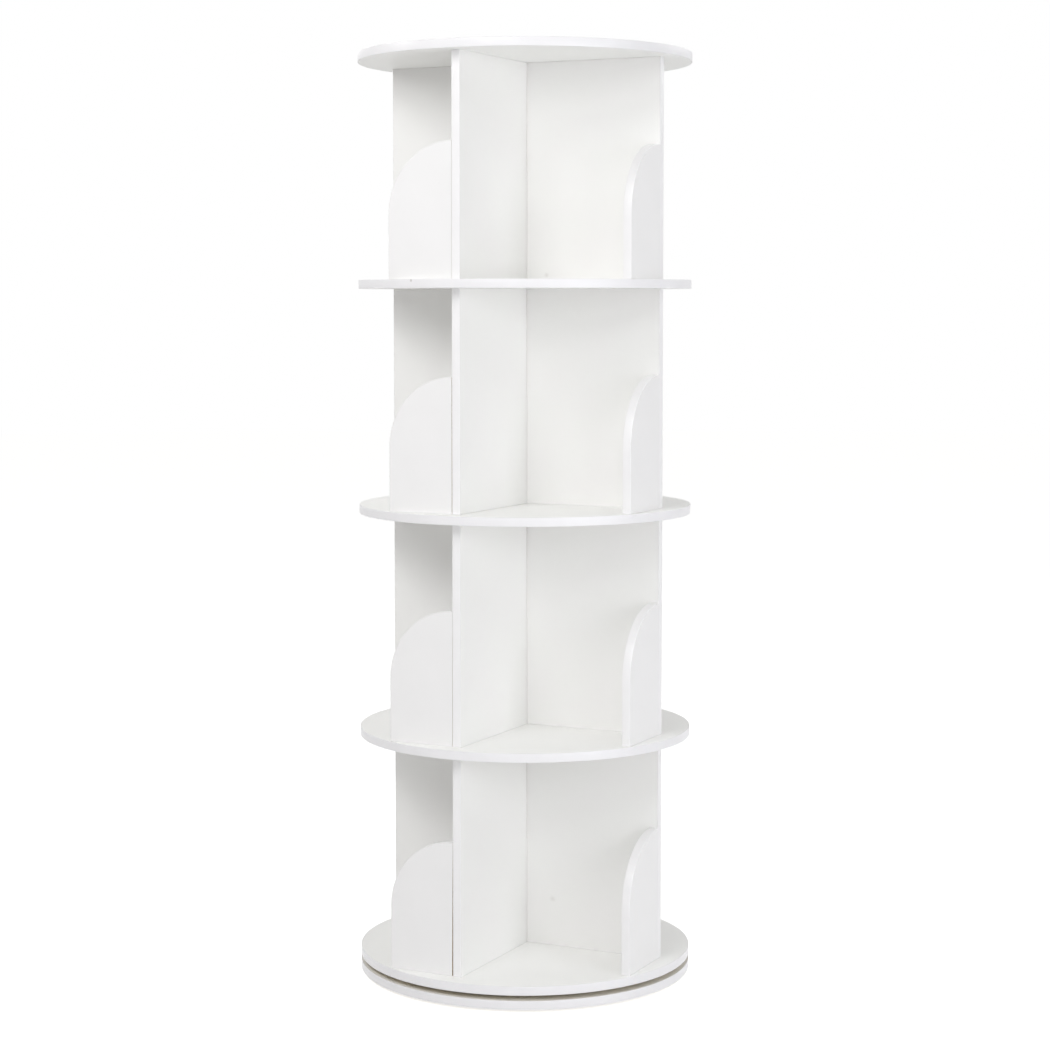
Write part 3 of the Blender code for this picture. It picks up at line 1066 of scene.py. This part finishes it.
@dataclass
class RoundPanels:
    """The five round shelves and the round base disc.

    Attributes:
        fixings: the screws and dowels that pass them.
        facets: how many flat sides a rim has.
        top_hole_depth: how deep the dowel holes are in the top shelf.
        marks: the blemishes on a shelf's rim, by its node.
    """

    fixings: Fixings
    facets: int = 192
    top_hole_depth: float = 9 * MM
    marks: dict[str, tuple[Mark, ...]] = field(
        default_factory=lambda: {"shelf_4": (Mark((-57 * MM, -223 * MM, 4 * MM), 2.6 * MM, 0.6),)}
    )

    def show_disc(self, node: str, body: Body, face: Finish, below: Surface, cutters: list[Cutter]) -> None:
        """Show a round panel.

        Args:
            node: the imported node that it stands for.
            body: the body that it rides on.
            face: the finish of its faces.
            below: the surface of its lower face.
            cutters: what is cut out of it.
        """
        size = size_of(node)
        radius = size.x / 2
        turns = [number * FULL_TURN / self.facets for number in range(self.facets)]
        outline = [(radius * math.cos(turn), radius * math.sin(turn)) for turn in turns]
        panel = EdgedPanel(outline, size.z, [True] * self.facets, lower_face=below)
        # The rims' band is a tone darker, which is painted shade. Shelf 4's rim also has a real chip.
        rim = RIM_BAND_PAINTED_SHADE.marked("abs_edge_band_rim_painted_shade_chipped", self.marks.get(node, ()))
        mesh = cut_out(mesh_of(panel.shape(), node + "_panel", face, rim, GLUE, CORE, PAPER), cutters)
        show(mesh, mesh.name, body, centre_of(node), node)

    def dowel_cutters(self, shelf: int) -> list[Cutter]:
        """Build the cutters for the dowels of a shelf.

        Args:
            shelf: the shelf, counted from the lowest.

        Returns:
            The cutters, in the shelf's own space.
        """
        half = size_of(f"shelf_{shelf}").z / 2
        bottom = -half - OVERRUN
        top = -bottom if shelf < SHELF_COUNT else self.top_hole_depth - half
        spots = [centre_of(node).xy for node in numbered(f"shelf_{shelf}_dowel", ARM_COUNT)]
        return [(self.fixings.dowel_hole(bottom, top), Matrix.Translation((*spot, 0))) for spot in spots]

    def build(self) -> None:
        """Show the base disc and the shelves."""
        screws = self.fixings.screw_cutters
        under_base = screws("base_screw", centre_of("base_disc"))
        self.show_disc("base_disc", Body.BASE, BOARD_FACE, Surface.BACK, under_base)
        # The shelves take a face painted a shade whiter than the base's: painted light.
        under_column = screws("column_screw", centre_of("shelf_1"))
        self.show_disc("shelf_1", Body.COLUMN, SHELF_FACE_PAINTED_LIGHTER, Surface.BACK, under_column)
        for shelf in range(2, SHELF_COUNT + 1):
            cutters = self.dowel_cutters(shelf)
            self.show_disc(f"shelf_{shelf}", Body.COLUMN, SHELF_FACE_PAINTED_LIGHTER, Surface.FACE, cutters)


@dataclass
class CrossedBoards:
    """The two half lapped boards of every tier.

    Attributes:
        fixings: the screws and dowels that hold them.
        lap_fit: the clearance beside the other board in a lap, for each of the two boards.
        lap_end_gap: the gap left at the bottom of a lap.
        end_round: the radius along the boards' ends, where a stop closes against them.
        hole_depth: how deep the dowel holes are in the boards' edges.
        marks: the blemishes on a board's face, by its node.
    """

    fixings: Fixings
    lap_fit: dict[Lap, float] = field(default_factory=lambda: {Lap.LOWER: 0.6 * MM, Lap.UPPER: 0.25 * MM})
    lap_end_gap: float = 0.3 * MM
    end_round: float = 0.25 * MM
    hole_depth: float = 14.7 * MM
    marks: dict[str, tuple[Mark, ...]] = field(
        default_factory=lambda: {
            "tier_1_upper_board": (Mark((46 * MM, -6 * MM, -83 * MM), 5.5 * MM, 0.16),),
            "tier_4_upper_board": (Mark((36 * MM, -6 * MM, -142 * MM), 4.0 * MM, 0.2),),
        }
    )

    def lap_cutter(self, lap: Lap, thickness: float, up: float) -> Cutter:
        """Build the cutter for a board's slot.

        Args:
            lap: which of the two boards.
            thickness: how thick the boards are.
            up: half their height.

        Returns:
            The cutter, which goes from the board's middle out through its upper or lower edge.
        """
        rise = 1 if lap is Lap.LOWER else -1
        bottom, top = -self.lap_end_gap / 2, up + OVERRUN
        size = (thickness + 2 * self.lap_fit[lap], thickness + 2 * OVERRUN, top - bottom)
        return block(size, (0, 0, rise * (top + bottom) / 2)), Matrix()

    def fixing_cutters(self, node: str, tier: int, up: float) -> list[Cutter]:
        """Return the cutters for the dowels and screws that enter a board.

        Args:
            node: the board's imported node.
            tier: its tier, counted from the floor.
            up: half its height.

        Returns:
            The cutters, in the board's own space.
        """
        reach = centre_of("shelf_2_dowel_1").xy.length
        spans = [(up - self.hole_depth, up + OVERRUN)]
        if tier > 1:
            spans.append((-up - OVERRUN, self.hole_depth - up))
        cutters = [
            (self.fixings.dowel_hole(low, high), Matrix.Translation((side * reach, 0, 0)))
            for low, high in spans
            for side in (-1, 1)
        ]
        if tier == 1:
            screw = foot_of("column_screw_1")
            length = size_of("column_screw_1").z + MM
            for side in (-1, 1):
                spot = (side * screw.xy.length, 0, screw.z - centre_of(node).z)
                cutters.append((self.fixings.screw_hole(length), Matrix.Translation(spot)))
        return cutters

    def board_mesh(self, tier: int, lap: Lap) -> Mesh:
        """Return one board, standing along X and centred on its origin.

        Args:
            tier: its tier, counted from the floor.
            lap: which of the tier's two boards.

        Returns:
            The mesh, lapped and drilled.
        """
        node = f"tier_{tier}_{lap.value}_board"
        length, thickness, height = sides_of(node)
        along, up = length / 2, height / 2 + CLOSING
        outline = [(-along, -up), (along, -up), (along, up), (-along, up)]
        panel = EdgedPanel(outline, thickness, [False, True, False, True], edge_round=self.end_round)
        face = BOARD_FACE.marked("melamine_faced_board_marked", self.marks.get(node, ()))
        mesh = mesh_of(upright(panel.shape()), node + "_panel", face, END_BAND, GLUE, CORE)
        return cut_out(mesh, [self.lap_cutter(lap, thickness, up), *self.fixing_cutters(node, tier, up)])

    def build(self) -> None:
        """Show the boards of every tier."""
        for tier in range(1, TIER_COUNT + 1):
            for lap in Lap:
                node = f"tier_{tier}_{lap.value}_board"
                size = size_of(node)
                turn = 0.0 if size.x > size.y else QUARTER_TURN
                place = Matrix.Translation(centre_of(node)) @ Matrix.Rotation(turn, 4, "Z")
                mesh = self.board_mesh(tier, lap)
                show(mesh, mesh.name, Body.COLUMN, place, node)


@dataclass
class BookStops:
    """The quarter arch book stops, one at the outer end of every board arm.

    Attributes:
        arch_steps: how many flat steps make the quarter arch.
        slits: how far the front left stop of each tier stands off its board, at its foot and head.
        slit_arm: the arm of the front left stops.
    """

    arch_steps: int = 40
    slits: tuple[Point, ...] = ((1.35 * MM, 0.05 * MM), (0.2 * MM, 0.0), (0.45 * MM, 0.35 * MM), (0.0, 0.0))
    slit_arm: int = 4

    def stop_mesh(self, node: str, slit: Point) -> Mesh:
        """Return a stop with its lower inner corner at the origin, standing along +X.

        Args:
            node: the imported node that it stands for.
            slit: how far its inner side stands off the board, at its foot and at its head.

        Returns:
            The mesh.
        """
        width, thickness, height = sides_of(node)
        arch = arc((0, height - width), width, 0, QUARTER_TURN, self.arch_steps)
        arch[-1] = (slit[1], height)
        outline = [(slit[0], -CLOSING), (width, -CLOSING), *arch]
        banded = [False] + [True] * (self.arch_steps + 1) + [False]
        shape = upright(EdgedPanel(outline, thickness, banded).shape())
        # The stops' faces carry painted shade, a tone darker and cooler than the boards'.
        return mesh_of(shape, node + "_panel", STOP_FACE_PAINTED_SHADE, END_BAND, GLUE, CORE)

    def build(self) -> None:
        """Show every stop, with its flat outer face flush with the board's end."""
        for tier in range(1, TIER_COUNT + 1):
            for arm in range(1, ARM_COUNT + 1):
                node = f"tier_{tier}_book_stop_{arm}"
                mesh = self.stop_mesh(node, self.slits[tier - 1] if arm == self.slit_arm else (0.0, 0.0))
                # Arm 1 points along +X. Its stop starts at the board's side and runs towards -Y.
                turn = Matrix.Rotation((arm - 2) * QUARTER_TURN, 4, "Z")
                reach = turn @ Vector((sides_of(node)[0] / 2, 0, 0))
                place = Matrix.Translation(foot_of(node) - reach) @ turn
                show(mesh, mesh.name, Body.COLUMN, place, node)


@dataclass
class RingBearing:
    """The ball bearing turntable in the gap: two grooved rings and a caged row of balls.

    Attributes:
        fixings: the screws that hold the rings.
        ball_radius: half a ball's diameter.
        running_gap: the clearance between a ball and its race.
        race_offset: how far the rings' facing walls stand from the balls' circle.
        race_steps: how many flat steps make a race.
        edge_round: the radius on the rings' outer corners.
        round_steps: how many flat steps make that radius.
        ring_facets: how many flat sides a ring has.
        ball_count: how many balls run in the cage.
        ball_steps: how many flat steps a ball has from pole to pole.
        strip_height: the height of the flat ring that carries the balls.
        strip_round: the bevel on its edges.
        tap_spare: how far the rings' tapped holes go on past the screws' points.
    """

    fixings: Fixings
    ball_radius: float = 2.0 * MM
    running_gap: float = 0.4 * MM
    race_offset: float = 1.5 * MM
    race_steps: int = 10
    edge_round: float = 0.5 * MM
    round_steps: int = 3
    ring_facets: int = 144
    ball_count: int = 20
    ball_steps: int = 16
    strip_height: float = 2.2 * MM
    strip_round: float = 0.15 * MM
    tap_spare: float = 4 * MM

    def circle(self) -> float:
        """Return the radius of the circle that the balls' centres run on."""
        return size_of("ball_cage").x / 2 - self.ball_radius

    def level(self) -> Vector:
        """Return the place on the turning axis that is level with the balls' centres."""
        return Vector((0, 0, centre_of("ball_cage").z))

    def ring_mesh(self, node: str, side: int) -> Mesh:
        """Return one grooved ring, centred on the ball level.

        Args:
            node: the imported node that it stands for.
            side: 1 for the outer ring and -1 for the inner one.

        Returns:
            The mesh, before it is drilled.
        """
        low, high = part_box(node)
        bottom, top = low.z - self.level().z, high.z - self.level().z
        face = self.circle() + side * self.race_offset
        width = size_of("bearing_outer_ring").x / 2 - self.circle() - self.race_offset
        reach = self.ball_radius + self.running_gap
        lip = math.acos(self.race_offset / reach)
        race = arc((self.circle(), 0), side * reach, side * lip, -side * lip, self.race_steps)
        corner = self.edge_round
        middle = face + side * (width - corner)
        out = 0 if side > 0 else math.pi
        loop = [
            *arc((middle, top - corner), corner, QUARTER_TURN, out, self.round_steps),
            *arc((middle, bottom + corner), corner, out, 2 * out - QUARTER_TURN, self.round_steps),
            (face, bottom),
            *reversed(race),
            (face, top),
        ]
        return mesh_of(turned([*loop, loop[0]], self.ring_facets), node + "_turned", ALUMINIUM)

    def strip_mesh(self) -> Mesh:
        """Build the cage's flat steel ring, which carries the balls.

        Returns:
            The mesh, centred on the ball level.
        """
        half = min(size_of("ball_cage").z, self.strip_height) / 2
        reach, soft = self.race_offset - self.running_gap, self.strip_round
        corners = [(reach - soft, half), (reach, half - soft), (reach, soft - half), (reach - soft, -half)]
        corners += [(-across, -height) for across, height in corners]
        loop = [(self.circle() + across, height) for across, height in corners]
        return mesh_of(turned([*loop, loop[0]], self.ring_facets), "ball_cage_strip", STRIP_STEEL)

    def ball_mesh(self) -> Mesh:
        """Build one polished ball.

        Returns:
            The mesh, centred on its origin.
        """
        profile = arc((0, 0), self.ball_radius, QUARTER_TURN, -QUARTER_TURN, self.ball_steps)
        profile[0], profile[-1] = (0, self.ball_radius), (0, -self.ball_radius)
        return mesh_of(turned(profile, 2 * self.ball_steps), "bearing_ball", BALL_STEEL)

    def build(self) -> None:
        """Show the rings, the cage and its balls."""
        level = self.level()
        rings = (
            ("bearing_outer_ring", 1, "base_screw", Body.BASE),
            ("bearing_inner_ring", -1, "column_screw", Body.COLUMN),
        )
        for node, side, screws, body in rings:
            cutters = self.fixings.screw_cutters(screws, level, self.tap_spare)
            mesh = cut_out(self.ring_mesh(node, side), cutters)
            show(mesh, mesh.name, body, level, node)
        strip, ball = self.strip_mesh(), self.ball_mesh()
        show(strip, strip.name, Body.CAGE, level, "ball_cage")
        for number in range(self.ball_count):
            angle = number * FULL_TURN / self.ball_count
            spot = level + self.circle() * Vector((math.cos(angle), math.sin(angle), 0))
            show(ball, f"bearing_ball_{number + 1}", Body.CAGE, spot)


@dataclass
class FootPads:
    """The rubber pads under the base.

    Attributes:
        edge_round: the radius of their lower edge.
        round_steps: how many flat steps make that radius.
        dish: the depth of the shallow dish moulded into the sole.
        dish_share: the dish's share of the pad's radius.
        facets: how many flat sides a pad has.
    """

    edge_round: float = 0.8 * MM
    round_steps: int = 4
    dish: float = 0.4 * MM
    dish_share: float = 0.6
    facets: int = 48

    def pad_mesh(self) -> Mesh:
        """Build a pad.

        Returns:
            The mesh, which stands on its origin.
        """
        size = size_of("foot_pad_1")
        radius, edge = size.x / 2, self.edge_round
        side = arc((radius - edge, edge), edge, 0, -QUARTER_TURN, self.round_steps)
        rim, dish = radius * self.dish_share, self.dish
        profile = [(0, size.z), (radius, size.z), *side, (rim, 0), (rim - dish, dish), (0, dish)]
        return mesh_of(turned(profile, self.facets), "foot_pad_moulded", RUBBER)

    def build(self) -> None:
        """Show the four pads."""
        mesh = self.pad_mesh()
        for node in numbered("foot_pad", ARM_COUNT):
            show(mesh, node + "_moulded", Body.BASE, foot_of(node), node)


# Studio and camera


def towards(azimuth: float, elevation: float) -> Vector:
    """Return the unit vector to a place some degrees round from -Y towards +X, and some above the floor."""
    turn, rise = math.radians(azimuth), math.radians(elevation)
    return Vector((math.sin(turn) * math.cos(rise), -math.cos(turn) * math.cos(rise), math.sin(rise)))


@dataclass(frozen=True)
class Softbox:
    """A soft square studio lamp that faces the bookcase.

    Attributes:
        name: what the studio calls it.
        azimuth: degrees round from -Y towards +X.
        elevation: degrees above its target.
        distance: how far it stands from its target.
        side: how wide and high it is.
        power: its power in watts.
        colour: its sRGB hex colour.
        target: the height on the turning axis that it faces.
    """

    name: str
    azimuth: float
    elevation: float
    distance: float
    side: float
    power: float
    colour: str = PURE_WHITE
    target: float = 0.65

    def build(self) -> None:
        """Add the lamp."""
        lamp = bpy.data.lights.new(self.name, "AREA")
        lamp.shape = "RECTANGLE"
        lamp.size = lamp.size_y = self.side
        lamp.energy = self.power
        lamp.color = linear(self.colour)[:3]
        stand = add_object(self.name, lamp)
        way = towards(self.azimuth, self.elevation)
        stand.location = Vector((0, 0, self.target)) + way * self.distance
        stand.rotation_euler = way.to_track_quat("Z", "Y").to_euler()
        stand.visible_camera = False


@dataclass
class Studio:
    """A white studio: pale floor, white surroundings and soft lamps.

    Attributes:
        ambient: the strength of the surroundings as light on the object.
        sky_colour: the colour of that light, a little warm from the room behind the lamps.
        floor_colour: the floor's paint.
        floor_radius: how far the floor reaches.
        floor_facets: how many flat sides its edge has.
        floor_drop: how far it lies below the pads, so that the two faces don't flicker.
        lamps: the soft lamps.
    """

    ambient: float = 0.313
    sky_colour: str = "#FFFEFC"
    floor_colour: str = "#EDEDED"
    floor_radius: float = 14.0
    floor_facets: int = 96
    floor_drop: float = 0.05 * MM
    lamps: tuple[Softbox, ...] = (
        Softbox("key_front_left", -20, 36, 2.47, 0.7, 4.2),
        Softbox("key_front", -5, 38, 3.0, 0.8, 13.1),
        Softbox("key_right", 85, 38, 3.0, 0.8, 4.9, COOL_WHITE),
        Softbox("near_left", -60, 20, 1.8, 0.5, 4.9, target=1.1),
        Softbox("near_front", 5, 15, 2.3, 0.5, 6.1, target=1.1),
        Softbox("fill_front", 25, 20, 3.0, 1.0, 5.7),
        Softbox("fill_front_right", 55, 8, 3.0, 1.0, 7.5, COOL_WHITE),
        Softbox("low_right", 70, 4, 2.2, 0.8, 5.0, COOL_WHITE, 0.25),
        Softbox("side_right", 70, 18, 2.6, 0.8, 5.7, COOL_WHITE, 0.3),
        Softbox("back_left", 230, 30, 3.4, 1.6, 10.0),
        Softbox("back_right", 150, 30, 3.4, 1.6, 17.5),
    )

    def seen_directly(self, tree: Tree) -> Socket:
        """Tell the rays that show the surroundings, straight or in a metal or glass, from the rest.

        Args:
            tree: a material's or a world's tree.

        Returns:
            1 for those rays and 0 for the others.
        """
        path = add_node(tree, "LightPath").outputs
        seen = path["Is Camera Ray"]
        for kind in ("Is Glossy Ray", "Is Transmission Ray"):
            seen = add_node(tree, "Math", {0: seen, 1: path[kind]}, operation="MAXIMUM").outputs["Value"]
        return seen

    def build_world(self) -> None:
        """Make the surroundings: white where they are seen, and an even soft light elsewhere."""
        world = bpy.data.worlds.new("white_surroundings")
        world.use_nodes = True
        tree = world.node_tree
        tree.nodes.clear()
        seen = self.seen_directly(tree)
        colours = {"Factor": seen, 6: linear(self.sky_colour), 7: linear(PURE_WHITE)}
        colour = add_node(tree, "Mix", colours, data_type="RGBA").outputs[2]
        strength = add_node(tree, "MapRange", {"Value": seen, "To Min": self.ambient}).outputs["Result"]
        sky = add_node(tree, "Background", {"Color": colour, "Strength": strength})
        add_node(tree, "OutputWorld", {"Surface": sky.outputs["Background"]})
        bpy.context.scene.world = world

    def build_floor(self) -> None:
        """Make the floor: pale paint that takes the shadow, and reads as white where nothing shades it."""
        material, tree = new_material("studio_floor_paint", self.floor_colour)
        paint = add_node(tree, "BsdfDiffuse", {"Color": linear(self.floor_colour)})
        lift = 1 - linear(self.floor_colour)[0] * self.ambient
        seen = {"Value": self.seen_directly(tree), "To Max": lift}
        glow = add_node(tree, "MapRange", seen).outputs["Result"]
        light = add_node(tree, "Emission", {"Color": linear(PURE_WHITE), "Strength": glow})
        both = add_node(tree, "AddShader", {0: paint.outputs["BSDF"], 1: light.outputs["Emission"]})
        add_node(tree, "OutputMaterial", {"Surface": both.outputs["Shader"]})
        shape = turned([(0, -self.floor_drop), (self.floor_radius, -self.floor_drop)], self.floor_facets)
        mesh = mesh_of(shape, "studio_floor")
        mesh.materials.append(material)
        add_object("studio_floor", mesh)

    def build(self) -> None:
        """Make the whole studio."""
        self.build_world()
        self.build_floor()
        for lamp in self.lamps:
            lamp.build()
        bpy.context.scene.view_settings.view_transform = "Standard"


@dataclass(frozen=True)
class PhotoCamera:
    """The photograph's camera, from a fit of the picture's edges.

    Attributes:
        azimuth: degrees round from -Y towards +X.
        distance: how far it stands from the turning axis, measured level.
        height: its height above the floor.
        pitch: degrees that it looks down.
        lens: its focal length in millimetres.
        rise: how far the lens is shifted, as a share of the picture.
        sensor: the width of its sensor in millimetres.
    """

    azimuth: float = 26.21
    distance: float = 3.3183
    height: float = 0.9347
    pitch: float = 3.803
    lens: float = 81.94
    rise: float = -0.0619
    sensor: float = 36.0

    def build(self) -> None:
        """Add the camera and make it the scene's."""
        data = bpy.data.cameras.new("photo_camera")
        data.sensor_width = self.sensor
        data.lens = self.lens
        data.shift_y = self.rise
        camera = add_object("photo_camera", data)
        camera.location = towards(self.azimuth, 0) * self.distance + Vector((0, 0, self.height))
        camera.rotation_euler = (math.radians(90 - self.pitch), 0, math.radians(self.azimuth))
        bpy.context.scene.camera = camera


def main() -> None:
    """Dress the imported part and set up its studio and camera."""
    logging.basicConfig(level=logging.INFO, format="%(message)s")
    fixings = Fixings()
    parts = (
        RoundPanels(fixings),
        CrossedBoards(fixings),
        BookStops(),
        RingBearing(fixings),
        fixings,
        FootPads(),
        Studio(),
        PhotoCamera(),
    )
    for part in parts:
        part.build()
        LOG.info("built %s", type(part).__name__)


if __name__ == "__main__":
    main()
